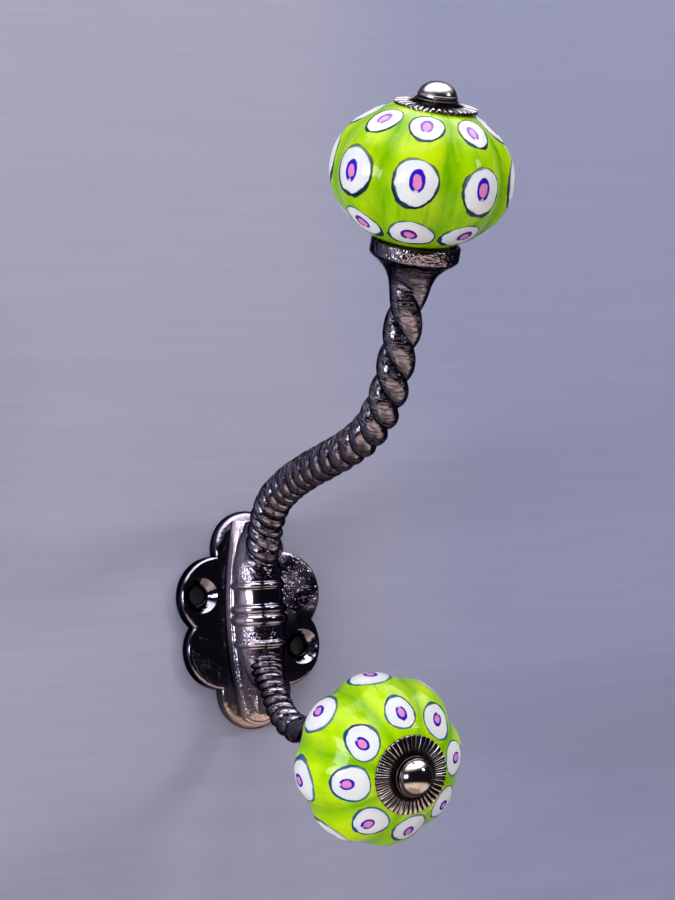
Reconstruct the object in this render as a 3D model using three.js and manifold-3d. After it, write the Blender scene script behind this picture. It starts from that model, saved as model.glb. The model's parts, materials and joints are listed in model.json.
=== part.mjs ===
// Double wall hook: a lobed backplate, a boss with two twisted arms, and a glazed ceramic knob on each arm.
// Units are millimetres. The wall is the plane y = 0 and the hook stands off it towards -Y, with +Z up.
// The origin is the centre of the backplate's rear face, and both arms lie in the plane x = 0.

import * as THREE from 'three';
import { mergeVertices } from 'three/addons/utils/BufferGeometryUtils.js';
import Module from 'manifold-3d';

const wasm = await Module();
wasm.setup();

// ---------------------------------------------------------------- driving dimensions

const GAP = 0.3; // clearance between pieces that rest on each other
const PAST = 1; // how far a cutting tool runs past the face it opens
const WELD = 1e-4; // points closer than this are one point
const TOLERANCE = 0.01;
const BEYOND = 40; // half the size of the blocks that trim whatever lies behind a plane
const FACETS = { bore: 20, piece: 24, cup: 30 };

const PLATE_THICKNESS = 3.8;
const PLATE_EDGE = 1.1; // rounding of the front edge
// The plate's six lobes, anticlockwise from the upper right. The casting is not quite symmetrical.
const PLATE_LOBES = [
  { x: 9, z: 6.5, radius: 10.8 },
  { x: 0.5, z: 18.4, radius: 9.7 },
  { x: -8.9, z: 6.7, radius: 10.3 },
  { x: -7.9, z: -6.7, radius: 10.2 },
  { x: 0.4, z: -17.7, radius: 9.8 },
  { x: 8.9, z: -6.7, radius: 10.3 },
];
const WALL_HOLE = { x: -13.8, z: 7.3, radius: 2.3, headRadius: 4.4, headDepth: 2.1 };

const FIXING_HEIGHTS = { top: 13, bottom: -12 };
const FIXING = { // countersunk screws that hold the arm casting from behind
  radius: 1.9, headRadius: 3.9, headDepth: 2, recess: 0.2, length: 9.8, socketRadius: 1.5, socketDepth: 1.2,
};

const BOSS_Y = -7.6; // axis of the ringed column
const BOSS_PAD = { top: 25.6, bottom: -24.3, halfWidth: 7.3, arcRadius: 105, front: 7, edge: 0.8 };
const BOSS_PROFILE = [ // radius and height, from the bottom up
  [0, -17.5], [2.9, -15.5], [4.5, -12], [5.8, -9], [6.3, -6.2], [7, -5.9], [7, -4.9], [6.4, -4.6],
  [6.4, -0.9], [7.1, -0.6], [7.3, 0.5], [7.1, 1.6], [6.6, 2], [7.2, 2.4], [7.2, 3.9], [6.3, 4.4],
  [6.3, 8.2], [7, 8.6], [7, 9.8], [6.3, 10.2], [6, 14], [4.6, 20], [2.2, 25.2], [0, 25.6],
];

const FLUTE_DEPTH = 0.7; // depth of the two helical grooves
const FLUTE_START = 6; // distance along the rod where the grooves begin
const FLUTE_FADE = 5;
const ROD_ZERO = -15.4; // distances along the rod count from here on the knob's axis
const ARM_START = -20; // where the rod begins, inside the cup, on the same axis
const ARM_BEND = -27; // the rod is straight down to here
const ARM_SIDES = 10;
const TWIST_STEP = (2 * Math.PI) / ARM_SIDES;

const KNOB_RADIUS = 20;
const KNOB_HALF_HEIGHT = 15.6;
const KNOB_FOOT = -15; // flat faces, measured along the knob's axis from its centre
const KNOB_CROWN = 14.4;
const KNOB_LOBES = 8;
const LOBE_DEPTH = 1.2;
const KNOB_BORE = 2.6;

const STUD_RADIUS = 2;
const STUD_SPAN = [-28.6, 18.2];
const CUSHION = { radius: 7.5, from: -16.5, to: -15.3 };
const CUP_RIM = -14.6;
const CUP_FLOOR = -16.8;
const CUP_PROFILE = [ // radius and distance along the knob's axis, from the recess floor out and down
  [0, CUP_FLOOR], [8.3, CUP_FLOOR], [8.8, CUP_RIM], [9.4, CUP_RIM], [9.8, -15], [9.8, -17.8], [9.3, -18.4],
  [7.4, -19.8], [5.7, -21.6], [4.6, -23.8], [3.2, -26.5], [0, -26.5],
];
const WASHER = {
  radius: 8.9, rimFrom: 14.5, rimTo: 14.9, hubRadius: 4.6, hubFrom: 14.9, hubTo: 15.6,
  flutes: 40, fluteDepth: 0.3,
};
const COLLAR = { radius: 4.7, thickness: 0.4 };
const DOME = { radius: 4.35, height: 3.3 };

// Each arm runs from its cup to the boss, through the [y, z] points of its route. Grooves per millimetre are
// density at first, and increase by growth for each millimetre of rod past even.
const HOOKS = {
  upper: {
    centre: [0, -101.2, 96],
    direction: [0, -Math.sin(THREE.MathUtils.degToRad(22.8)), Math.cos(THREE.MathUtils.degToRad(22.8))],
    route: [
      [-88.5, 66.5], [-85.3, 60], [-81, 52.7], [-76.3, 47.7], [-70.3, 43.7], [-61.5, 40.7], [-51, 38.5],
      [-40, 36.4], [-29, 33.7], [-20, 29.9], [-14.8, 24.5], [-12.2, 18.5], [-8.5, 12],
    ],
    radiusAtCup: 4.25,
    radiusAtBoss: 4.6,
    density: 0.08,
    growth: 0.0019,
    even: 0,
    knobTurn: 10.7, // degrees the knob stands turned about its stud
    knobOffset: -1, // the hand-made body stands this far off its bore, sideways
  },
  lower: {
    centre: [0, -66, -30.5],
    direction: [0, -Math.cos(THREE.MathUtils.degToRad(10)), -Math.sin(THREE.MathUtils.degToRad(10))],
    route: [[-29.5, -26.3], [-22.8, -25.2], [-17.6, -22.3], [-14.1, -17.7], [-11, -12], [-8.8, -4]],
    radiusAtCup: 4,
    radiusAtBoss: 3.3,
    density: 0.08,
    growth: 0.0185,
    even: 20,
    knobTurn: 7.7,
    knobOffset: 0,
  },
};

// ---------------------------------------------------------------- materials

const material = (color, roughness, metalness) => (
  new THREE.MeshStandardMaterial({ color, roughness, metalness }));
const MATERIALS = {
  casting: material(0x2a272c, 0.25, 1),
  plating: material(0x4a464c, 0.18, 1),
  steel: material(0x8d8f93, 0.35, 1),
  glaze: material(0x9bd30a, 0.12, 0),
  rubber: material(0x1c1c1e, 0.8, 0),
};

// ---------------------------------------------------------------- solids and booleans

function toManifold(geometry) {
  const bare = geometry.clone();
  bare.deleteAttribute('normal');
  bare.deleteAttribute('uv');
  const merged = mergeVertices(bare, WELD);
  return new wasm.Manifold(new wasm.Mesh({
    numProp: 3,
    vertProperties: new Float32Array(merged.attributes.position.array),
    triVerts: new Uint32Array(merged.index.array),
  }));
}

function toGeometry(manifold) {
  const mesh = manifold.getMesh();
  const geometry = new THREE.BufferGeometry();
  geometry.setAttribute('position', new THREE.BufferAttribute(mesh.vertProperties, 3));
  geometry.setIndex(new THREE.BufferAttribute(mesh.triVerts, 1));
  geometry.computeVertexNormals();
  return geometry;
}

const join = (parts) => parts.map(toManifold).reduce((sum, part) => sum.add(part));
const cut = (solid, tools) => tools.map(toManifold).reduce((rest, tool) => rest.subtract(tool), solid);

// A solid of revolution about Z from a profile of [radius, z] points that starts and ends on the axis.
function turned(profile, segments) {
  const rising = profile[0][1] < profile[profile.length - 1][1];
  const ordered = rising ? profile : [...profile].reverse();
  const points = ordered.map(([radius, z]) => new THREE.Vector2(radius, z));
  return new THREE.LatheGeometry(points, segments).rotateX(Math.PI / 2);
}

// A cylinder about Z between two heights.
function rod(radius, from, to, segments = FACETS.piece) {
  const cylinder = new THREE.CylinderGeometry(radius, radius, to - from, segments);
  return cylinder.rotateX(Math.PI / 2).translate(0, 0, (from + to) / 2);
}

// Turns a solid made about +Z so that its axis points away from the wall, at a place on the plate.
const outFromWall = (geometry, x, z) => geometry.rotateX(Math.PI / 2).translate(x, 0, z);

// Moves a solid made about +Z, with the knob's centre at its origin, to its place on a hook.
function alongHook(geometry, hook) {
  const turn = new THREE.Quaternion().setFromUnitVectors(new THREE.Vector3(0, 0, 1), direction(hook));
  return geometry.applyQuaternion(turn).translate(...hook.centre);
}

const direction = (hook) => new THREE.Vector3(...hook.direction);
const alongAxis = (hook, distance) => (
  new THREE.Vector3(...hook.centre).addScaledVector(direction(hook), distance));

// Extrudes an outline drawn in the plate's plane (x, z) from one distance off the wall to another.
function offWall(shape, from, to, bevel = 0) {
  const geometry = new THREE.ExtrudeGeometry(shape, {
    depth: to - from - bevel,
    bevelEnabled: bevel > 0,
    bevelThickness: bevel,
    bevelSize: bevel,
    bevelOffset: -bevel,
    bevelSegments: 3,
    curveSegments: 12,
  });
  return geometry.rotateX(Math.PI / 2).translate(0, -from, 0);
}

// ---------------------------------------------------------------- backplate

// Of the two crossings of a pair of lobe circles, the one farther from the plate's centre.
function outerCrossing(a, b) {
  const distance = Math.hypot(b.x - a.x, b.z - a.z);
  const along = (a.radius ** 2 - b.radius ** 2 + distance ** 2) / (2 * distance);
  const across = Math.sqrt(a.radius ** 2 - along ** 2);
  const unit = { x: (b.x - a.x) / distance, z: (b.z - a.z) / distance };
  const crossings = [1, -1].map((side) => ({
    x: a.x + along * unit.x - side * across * unit.z,
    z: a.z + along * unit.z + side * across * unit.x,
  }));
  return crossings.sort((p, q) => Math.hypot(q.x, q.z) - Math.hypot(p.x, p.z))[0];
}

function lobedShape() {
  const shape = new THREE.Shape();
  const count = PLATE_LOBES.length;
  PLATE_LOBES.forEach((lobe, i) => {
    const start = outerCrossing(PLATE_LOBES[(i + count - 1) % count], lobe);
    const end = outerCrossing(lobe, PLATE_LOBES[(i + 1) % count]);
    const angle = (point) => Math.atan2(point.z - lobe.z, point.x - lobe.x);
    shape.absarc(lobe.x, lobe.z, lobe.radius, angle(start), angle(end), false);
  });
  return shape;
}

// A block that takes away everything nearer the wall than a distance off it.
const blockBehind = (offWallDistance) => (
  new THREE.BoxGeometry(2 * BEYOND, BEYOND, 2 * BEYOND).translate(0, BEYOND / 2 - offWallDistance, 0));

// A countersunk hole's cutter, about +Z, from behind the face z = 0 up to the front face.
function countersink(hole, front) {
  return turned([
    [0, -PAST], [hole.radius, -PAST], [hole.radius, front - hole.headDepth], [hole.headRadius, front],
    [hole.headRadius, front + PAST], [0, front + PAST],
  ], FACETS.piece);
}

// The rear holes open towards the wall, so their cutter is the fixing screw with clearance all round.
function rearHole() {
  const { radius, headRadius, headDepth, recess, length } = FIXING;
  return turned([
    [0, -PAST], [headRadius + GAP, -PAST], [headRadius + GAP, recess],
    [radius + GAP, recess + headDepth + GAP], [radius + GAP, length + 2 * GAP], [0, length + 2 * GAP],
  ], FACETS.bore);
}

function backplate() {
  const blank = offWall(lobedShape(), -2 * PLATE_EDGE, PLATE_THICKNESS, PLATE_EDGE);
  const wallHoles = [1, -1].map((side) => (
    outFromWall(countersink(WALL_HOLE, PLATE_THICKNESS), side * WALL_HOLE.x, side * WALL_HOLE.z)));
  const fixingHoles = Object.values(FIXING_HEIGHTS).map((z) => outFromWall(rearHole(), 0, z));
  return cut(toManifold(blank), [blockBehind(0), ...wallHoles, ...fixingHoles]);
}

function fixingScrew() {
  const { radius, headRadius, headDepth, recess, length, socketRadius, socketDepth } = FIXING;
  const body = turned([
    [0, recess], [headRadius, recess], [radius, recess + headDepth], [radius, length], [0, length],
  ], FACETS.bore);
  const socket = rod(socketRadius, -PAST, socketDepth, 6);
  return cut(toManifold(body), [socket]);
}

// ---------------------------------------------------------------- boss and arms

// The raised pad under the boss: its sides are two flat arcs, its top is square and its bottom is rounded.
function padShape() {
  const { top, bottom, halfWidth, arcRadius } = BOSS_PAD;
  const halfWidthAt = (z) => halfWidth - arcRadius + Math.sqrt(arcRadius ** 2 - z ** 2);
  const endWidth = halfWidthAt(bottom);
  const steps = 6;
  const tip = bottom - 0.8 * endWidth;
  const heights = Array.from({ length: steps + 1 }, (_, i) => bottom + (top - bottom) * (i / steps));
  const right = heights.map((z) => new THREE.Vector2(halfWidthAt(z), z));
  const left = heights.reverse().map((z) => new THREE.Vector2(-halfWidthAt(z), z));
  const shape = new THREE.Shape([...right, ...left]);
  shape.quadraticCurveTo(0, tip, endWidth, bottom);
  return shape;
}

const boss = () => turned(BOSS_PROFILE, FACETS.piece).translate(0, BOSS_Y, 0);

function armCurve(hook) {
  const straight = [ARM_START, ARM_BEND].map((distance) => alongAxis(hook, distance));
  const bent = hook.route.map(([y, z]) => new THREE.Vector3(0, y, z));
  return new THREE.CatmullRomCurve3([...straight, ...bent]);
}

// The rod's radius at an angle from the crest of a strand, u of the way from the cup to the boss.
function armRadius(hook, angle, distance, u) {
  const grown = THREE.MathUtils.smoothstep(distance, FLUTE_START, FLUTE_START + FLUTE_FADE);
  const crest = THREE.MathUtils.lerp(hook.radiusAtCup, hook.radiusAtBoss, u);
  return crest - grown * FLUTE_DEPTH * Math.sin(angle) ** 4;
}

const pastEven = (hook, distance) => Math.max(distance - hook.even, 0);

// Two grooves make one full turn of the strands, and they run left-handed.
const twistAt = (hook, distance) => (
  -Math.PI * (hook.density * distance + (hook.growth / 2) * pastEven(hook, distance) ** 2));

// Distances along the rod at roughly equal steps of the twist, so that the mesh follows the grooves.
function twistStations(hook, start, end) {
  const stations = [];
  let distance = start;
  while (distance < end) {
    stations.push(distance);
    distance += TWIST_STEP / (Math.PI * (hook.density + hook.growth * pastEven(hook, distance)));
  }
  return stations;
}

// One ring of points around the rod's section at a distance along it, u of the way along the curve.
function sectionPoints(hook, curve, distance, u) {
  const side = new THREE.Vector3(1, 0, 0);
  const up = new THREE.Vector3().crossVectors(curve.getTangentAt(u), side);
  const twist = twistAt(hook, distance);
  return Array.from({ length: ARM_SIDES }, (_, i) => {
    const angle = (i / ARM_SIDES) * 2 * Math.PI;
    const radius = armRadius(hook, angle, distance, u);
    return curve.getPointAt(u)
      .addScaledVector(side, radius * Math.cos(angle + twist))
      .addScaledVector(up, radius * Math.sin(angle + twist));
  });
}

// Triangles that join the rings, and a fan over each end.
function ringFaces(rings) {
  const faces = [];
  for (let row = 0; row < rings - 1; row += 1) {
    for (let i = 0; i < ARM_SIDES; i += 1) {
      const a = row * ARM_SIDES + i;
      const b = row * ARM_SIDES + ((i + 1) % ARM_SIDES);
      faces.push(a, b, b + ARM_SIDES, a, b + ARM_SIDES, a + ARM_SIDES);
    }
  }
  const last = (rings - 1) * ARM_SIDES;
  for (let i = 1; i < ARM_SIDES - 1; i += 1) {
    faces.push(0, i + 1, i, last, last + i, last + i + 1);
  }
  return faces;
}

function twistedArm(hook) {
  const curve = armCurve(hook);
  const length = curve.getLength();
  const start = ROD_ZERO - ARM_START;
  const stations = twistStations(hook, start, start + length);
  const rings = stations.map((distance) => (
    sectionPoints(hook, curve, distance, (distance - start) / length)));
  const geometry = new THREE.BufferGeometry().setFromPoints(rings.flat());
  geometry.setIndex(ringFaces(rings.length));
  return geometry;
}

function armCasting() {
  const arms = Object.values(HOOKS).map((hook) => twistedArm(hook));
  const cups = Object.values(HOOKS).map((hook) => alongHook(turned(CUP_PROFILE, FACETS.cup), hook));
  const pad = offWall(padShape(), PLATE_THICKNESS + GAP, BOSS_PAD.front, BOSS_PAD.edge);
  const studHoles = Object.values(HOOKS).map((hook) => (
    alongHook(rod(STUD_RADIUS + GAP, STUD_SPAN[0] - GAP, CUP_FLOOR + PAST, FACETS.bore), hook)));
  const fixingHoles = Object.values(FIXING_HEIGHTS).map((z) => outFromWall(rearHole(), 0, z));
  return cut(
    join([pad, boss(), ...arms, ...cups]),
    [blockBehind(PLATE_THICKNESS + GAP), ...studHoles, ...fixingHoles],
  );
}

// ---------------------------------------------------------------- knob and its hardware

// An eight-lobed oblate body. The lobes fade out towards the flat foot and crown.
function knob({ knobTurn, knobOffset }) {
  const rows = 12;
  const sides = 5 * KNOB_LOBES;
  const foot = Math.asin(KNOB_FOOT / KNOB_HALF_HEIGHT);
  const crown = Math.asin(KNOB_CROWN / KNOB_HALF_HEIGHT);
  const profile = [[0, KNOB_FOOT]];
  for (let row = 0; row <= rows; row += 1) {
    const latitude = foot + (crown - foot) * (row / rows);
    profile.push([KNOB_RADIUS * Math.cos(latitude), KNOB_HALF_HEIGHT * Math.sin(latitude)]);
  }
  profile.push([0, KNOB_CROWN]);
  const body = turned(profile, sides);
  const position = body.attributes.position;
  for (let i = 0; i < position.count; i += 1) {
    const x = position.getX(i);
    const y = position.getY(i);
    const radius = Math.hypot(x, y);
    const groove = 0.5 - 0.5 * Math.cos(KNOB_LOBES * Math.atan2(y, x));
    const reach = THREE.MathUtils.smoothstep(radius, KNOB_RADIUS / 2, KNOB_RADIUS);
    const scale = radius > 0 ? 1 - (LOBE_DEPTH * groove ** 2 * reach) / radius : 1;
    position.setXY(i, x * scale, y * scale);
  }
  body.rotateZ(THREE.MathUtils.degToRad(knobTurn)).translate(knobOffset, 0, 0);
  return cut(toManifold(body), [rod(KNOB_BORE, KNOB_FOOT - PAST, KNOB_CROWN + PAST, FACETS.bore)]);
}

// A through hole that clears the stud, for a piece that lies between two distances along it.
const studClearance = (from, to) => rod(STUD_RADIUS + GAP, from - PAST, to + PAST, FACETS.bore);

// A dished washer with a fluted rim. On the top edge, every second point is a valley between two flutes.
function flutedWasher() {
  const { radius, rimFrom, rimTo, hubRadius, hubFrom, hubTo, flutes, fluteDepth } = WASHER;
  const body = turned([
    [0, hubFrom], [hubRadius, hubFrom], [radius, rimFrom], [radius, rimTo], [hubRadius, hubTo], [0, hubTo],
  ], 2 * flutes);
  const position = body.attributes.position;
  for (let i = 0; i < position.count; i += 1) {
    const x = position.getX(i);
    const y = position.getY(i);
    const onTopEdge = Math.hypot(x, y) > hubRadius + GAP && Math.abs(position.getZ(i) - rimTo) < TOLERANCE;
    const valley = Math.round((Math.atan2(y, x) / Math.PI) * flutes) % 2 !== 0;
    if (onTopEdge && valley) position.setZ(i, rimTo - fluteDepth);
  }
  return cut(toManifold(body), [studClearance(rimFrom, hubTo)]);
}

function collar() {
  const from = WASHER.hubTo + GAP;
  const to = from + COLLAR.thickness;
  return cut(toManifold(rod(COLLAR.radius, from, to)), [studClearance(from, to)]);
}

function domeNut() {
  const base = WASHER.hubTo + COLLAR.thickness + 2 * GAP;
  const steps = 6;
  const profile = [[0, base]];
  for (let i = 0; i < steps; i += 1) {
    const angle = (i / steps) * (Math.PI / 2);
    profile.push([DOME.radius * Math.cos(angle), base + DOME.height * Math.sin(angle)]);
  }
  profile.push([0, base + DOME.height]);
  const blindHole = rod(STUD_RADIUS + GAP, base - PAST, STUD_SPAN[1] + GAP, FACETS.bore);
  return cut(toManifold(turned(profile, FACETS.piece)), [blindHole]);
}

const stud = () => toManifold(rod(STUD_RADIUS, ...STUD_SPAN, FACETS.bore));

function cushion() {
  const { radius, from, to } = CUSHION;
  return cut(toManifold(rod(radius, from, to)), [studClearance(from, to)]);
}

// ---------------------------------------------------------------- assembly

const hookAssembly = new THREE.Group();

function addNode(name, solid, finish, parent = hookAssembly) {
  const mesh = new THREE.Mesh(toGeometry(solid), MATERIALS[finish]);
  mesh.name = name;
  parent.add(mesh);
  return mesh;
}

addNode('backplate', backplate(), 'casting');
addNode('arm_casting', armCasting(), 'casting');

Object.entries(FIXING_HEIGHTS).forEach(([end, z]) => {
  const screw = addNode(`${end}_fixing_screw`, fixingScrew(), 'steel');
  screw.rotation.x = Math.PI / 2;
  screw.position.z = z;
});

Object.entries(HOOKS).forEach(([name, hook]) => {
  const place = new THREE.Group();
  place.position.set(...hook.centre);
  place.quaternion.setFromUnitVectors(new THREE.Vector3(0, 0, 1), direction(hook));
  hookAssembly.add(place);
  addNode(`${name}_cushion`, cushion(), 'rubber', place);
  addNode(`${name}_knob`, knob(hook), 'glaze', place);
  addNode(`${name}_fluted_washer`, flutedWasher(), 'plating', place);
  addNode(`${name}_collar`, collar(), 'plating', place);
  addNode(`${name}_dome_nut`, domeNut(), 'plating', place);
  addNode(`${name}_stud`, stud(), 'steel', place);
});

export default hookAssembly;
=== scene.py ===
import json
import math

import bpy
import numpy as np
from mathutils import Matrix, Vector


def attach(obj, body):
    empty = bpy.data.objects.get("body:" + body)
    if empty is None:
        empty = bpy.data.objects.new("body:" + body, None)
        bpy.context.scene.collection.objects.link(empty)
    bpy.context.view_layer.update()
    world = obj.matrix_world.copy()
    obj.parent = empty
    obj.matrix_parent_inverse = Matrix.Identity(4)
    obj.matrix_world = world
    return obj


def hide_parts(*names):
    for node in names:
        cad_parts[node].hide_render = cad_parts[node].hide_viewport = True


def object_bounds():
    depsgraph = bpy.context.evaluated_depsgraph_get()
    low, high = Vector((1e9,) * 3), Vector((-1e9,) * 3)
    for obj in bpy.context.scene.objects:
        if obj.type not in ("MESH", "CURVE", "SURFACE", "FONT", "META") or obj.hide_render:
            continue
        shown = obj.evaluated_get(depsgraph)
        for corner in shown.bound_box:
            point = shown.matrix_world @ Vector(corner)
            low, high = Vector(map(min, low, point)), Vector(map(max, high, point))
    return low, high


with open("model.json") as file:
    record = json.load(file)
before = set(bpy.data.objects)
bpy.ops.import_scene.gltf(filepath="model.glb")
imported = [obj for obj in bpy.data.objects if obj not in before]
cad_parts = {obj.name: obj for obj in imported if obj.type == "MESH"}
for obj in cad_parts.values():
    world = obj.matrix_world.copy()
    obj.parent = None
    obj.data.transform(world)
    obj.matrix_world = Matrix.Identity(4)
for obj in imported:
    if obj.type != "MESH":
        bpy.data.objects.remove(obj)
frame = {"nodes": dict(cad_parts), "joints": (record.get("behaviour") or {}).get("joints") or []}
cad_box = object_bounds()
MM = 0.001

# ------------------------------------------------------------------ where things are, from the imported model

JOINTS = {joint["name"]: joint for joint in frame["joints"]}
HOOKS = ("upper", "lower")
KNOB_CENTRE = {hook: np.array(JOINTS[f"{hook}_knob_turn"]["pos_m"]) / MM for hook in HOOKS}
KNOB_AXIS = {hook: np.array(JOINTS[f"{hook}_knob_turn"]["axis"]) for hook in HOOKS}
ACROSS = np.array([1.0, 0.0, 0.0])


def axis_matrix(hook):
    """The knob's own frame: +Z along its stud, +X across, the origin at the knob's centre. In metres."""
    axis = KNOB_AXIS[hook] / np.linalg.norm(KNOB_AXIS[hook])
    matrix = Matrix(np.column_stack([ACROSS, np.cross(axis, ACROSS), axis]).tolist()).to_4x4()
    matrix.translation = Vector(KNOB_CENTRE[hook] * MM)
    return matrix


# ------------------------------------------------------------------ camera

AZIMUTH, ELEVATION, ROLL = math.radians(-28.12), math.radians(-2.69), math.radians(3.12)
TARGET = Vector((0.01306, -0.03, 0.04151))
DISTANCE = 0.49313

camera = bpy.data.objects.new("camera", bpy.data.cameras.new("camera"))
bpy.context.scene.collection.objects.link(camera)
back = Vector((math.sin(AZIMUTH) * math.cos(ELEVATION), -math.cos(AZIMUTH) * math.cos(ELEVATION),
               math.sin(ELEVATION)))
level = Vector((math.cos(AZIMUTH), math.sin(AZIMUTH), 0))
upright = back.cross(level)
right = math.cos(ROLL) * level - math.sin(ROLL) * upright
up = math.sin(ROLL) * level + math.cos(ROLL) * upright
camera.matrix_world = Matrix((right, up, back)).transposed().to_4x4()
camera.location = TARGET + back * DISTANCE
camera.data.lens = 80.04
camera.data.clip_start, camera.data.clip_end = 0.01, 20
bpy.context.scene.camera = camera

# ------------------------------------------------------------------ mesh helpers (millimetres)


def grid_faces(rows, columns):
    """Quads of a grid of rows rings with columns points each, closed round the rings."""
    row, column = np.meshgrid(np.arange(rows - 1), np.arange(columns), indexing="ij")
    a = row * columns + column
    b = row * columns + (column + 1) % columns
    return np.stack([a, b, b + columns, a + columns], axis=-1).reshape(-1, 4)


def make_object(name, points, faces, matrix=None, sharp=35):
    """An object from points in millimetres and faces, smooth but for edges sharper than an angle."""
    mesh = bpy.data.meshes.new(name)
    mesh.from_pydata((np.asarray(points) * MM).tolist(), [], [list(f) for f in faces])
    mesh.validate()
    mesh.update()
    mesh.shade_smooth()
    if sharp:
        mesh.set_sharp_from_angle(angle=math.radians(sharp))
    made = bpy.data.objects.new(name, mesh)
    bpy.context.scene.collection.objects.link(made)
    if matrix is not None:
        made.matrix_world = matrix
    return made


def ring_object(name, rings, cap_start=True, cap_end=True, **options):
    """Rings of points, joined by quads, with a flat face over each end."""
    rings = np.asarray(rings)
    rows, columns = rings.shape[:2]
    faces = [tuple(f) for f in grid_faces(rows, columns)]
    if cap_start:
        faces.append(tuple(reversed(range(columns))))
    if cap_end:
        faces.append(tuple(range((rows - 1) * columns, rows * columns)))
    return make_object(name, rings.reshape(-1, 3), faces, **options)


def rounded(profile, radius, steps=4):
    """The profile with each corner replaced by a small curve that starts up to radius from it."""
    points = [np.array(p, float) for p in profile]
    made = [points[0]]
    for before, corner, after in zip(points, points[1:], points[2:]):
        into, out = before - corner, after - corner
        reach_in = min(radius, 0.45 * np.linalg.norm(into))
        reach_out = min(radius, 0.45 * np.linalg.norm(out))
        start = corner + into / np.linalg.norm(into) * reach_in
        end = corner + out / np.linalg.norm(out) * reach_out
        for t in np.linspace(0, 1, steps + 1):
            made.append((1 - t) ** 2 * start + 2 * t * (1 - t) * corner + t * t * end)
    made.append(points[-1])
    return np.array(made)


def finer(profile, step):
    """The profile with extra points, so that no two neighbours are farther apart than a step."""
    made = [profile[0]]
    for a, b in zip(profile, profile[1:]):
        count = max(1, math.ceil(np.linalg.norm(b - a) / step))
        made += [a + (b - a) * (i + 1) / count for i in range(count)]
    return np.array(made)


def turned_rings(profile, segments):
    """Rings about +Z for a profile of (radius, z)."""
    angle = np.linspace(0, 2 * np.pi, segments, endpoint=False)
    profile = np.asarray(profile)
    return np.stack([profile[:, :1] * np.cos(angle), profile[:, :1] * np.sin(angle),
                     np.repeat(profile[:, 1:], segments, axis=1)], axis=-1)


def lumps(points, wavelength, seed):
    """Smooth unevenness between about -1 and 1, from waves in fixed directions."""
    rng = np.random.default_rng(seed)
    total = np.zeros(points.shape[:-1])
    for _ in range(14):
        direction = rng.normal(size=3)
        direction *= 2 * np.pi / (wavelength * rng.uniform(0.6, 1.6)) / np.linalg.norm(direction)
        total += np.sin(points @ direction + rng.uniform(0, 2 * np.pi))
    return total / 14 ** 0.5 / 1.4


def smoothstep(x, low, high):
    t = np.clip((x - low) / (high - low), 0, 1)
    return t * t * (3 - 2 * t)


def push_out(made, points, distance):
    """Move a mesh's points, given in millimetres, along its normals."""
    normals = np.array([v.normal for v in made.data.vertices])
    made.data.vertices.foreach_set("co", ((points + normals * distance[:, None]) * MM).astype(np.float32).ravel())


def attribute(made, name, values):
    layer = made.data.attributes.new(name, "FLOAT", "POINT")
    layer.data.foreach_set("value", np.asarray(values, np.float32).ravel())


# ------------------------------------------------------------------ material helpers


class Nodes:
    """A short way to write a material's nodes."""

    def __init__(self, name):
        self.material = bpy.data.materials.new(name)
        self.material.use_nodes = True
        self.tree = self.material.node_tree
        self.tree.nodes.clear()
        self.shader = self.new("ShaderNodeBsdfPrincipled")
        out = self.new("ShaderNodeOutputMaterial")
        self.tree.links.new(self.shader.outputs[0], out.inputs["Surface"])

    def new(self, kind, inputs=None, **settings):
        node = self.tree.nodes.new(kind)
        for key, value in settings.items():
            setattr(node, key, value)
        for key, value in (inputs or {}).items():
            self.put(node.inputs[key], value)
        return node

    def put(self, socket, value):
        if isinstance(value, bpy.types.NodeSocket):
            self.tree.links.new(value, socket)
        elif isinstance(value, tuple) and len(value) == 3 and socket.type == "RGBA":
            socket.default_value = (*value, 1)
        else:
            socket.default_value = value

    def math(self, operation, a, b=0.0, c=0.0, clamp=False):
        return self.new("ShaderNodeMath", {0: a, 1: b, 2: c}, operation=operation, use_clamp=clamp).outputs[0]

    def add(self, a, b):
        return self.math("ADD", a, b)

    def mul(self, a, b):
        return self.math("MULTIPLY", a, b)

    def span(self, value, low, high, to_low=0.0, to_high=1.0):
        """Smoothly maps low..high to to_low..to_high."""
        return self.new("ShaderNodeMapRange", {"Value": value, "From Min": low, "From Max": high, "To Min": to_low,
                                               "To Max": to_high}, interpolation_type="SMOOTHSTEP").outputs[0]

    def mix(self, factor, a, b):
        node = self.new("ShaderNodeMix", data_type="RGBA")
        self.put(node.inputs["Factor"], factor)
        self.put(node.inputs[6], a)
        self.put(node.inputs[7], b)
        return node.outputs[2]

    def noise(self, vector, scale, detail=2.0, roughness=0.5, distortion=0.0):
        return self.new("ShaderNodeTexNoise", {"Vector": vector, "Scale": scale, "Detail": detail,
                                               "Roughness": roughness, "Distortion": distortion}).outputs[0]

    def read(self, name):
        return self.new("ShaderNodeAttribute", attribute_name=name).outputs["Fac"]

    def place(self):
        """Object coordinates in millimetres."""
        where = self.new("ShaderNodeTexCoord").outputs["Object"]
        return self.new("ShaderNodeVectorMath", {0: where, "Scale": 1 / MM}, operation="SCALE").outputs[0]

    def stretched(self, vector, x, y, z):
        return self.new("ShaderNodeVectorMath", {0: vector, 1: (x, y, z)}, operation="MULTIPLY").outputs[0]

    def bump(self, height, distance, strength=1.0, normal=None):
        """Bump of a height from 0 to 1 that stands for so many millimetres."""
        inputs = {"Height": height, "Distance": distance * MM, "Strength": strength}
        if normal is not None:
            inputs["Normal"] = normal
        return self.new("ShaderNodeBump", inputs).outputs[0]

    def set(self, **values):
        for key, value in values.items():
            self.put(self.shader.inputs[key.replace("_", " ")], value)
        return self.material


def srgb(red, green, blue):
    """A colour from 0-255 screen values."""
    return tuple((c / 255 / 12.92) if c <= 10 else ((c / 255 + 0.055) / 1.055) ** 2.4 for c in (red, green, blue))


# ------------------------------------------------------------------ materials


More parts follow.
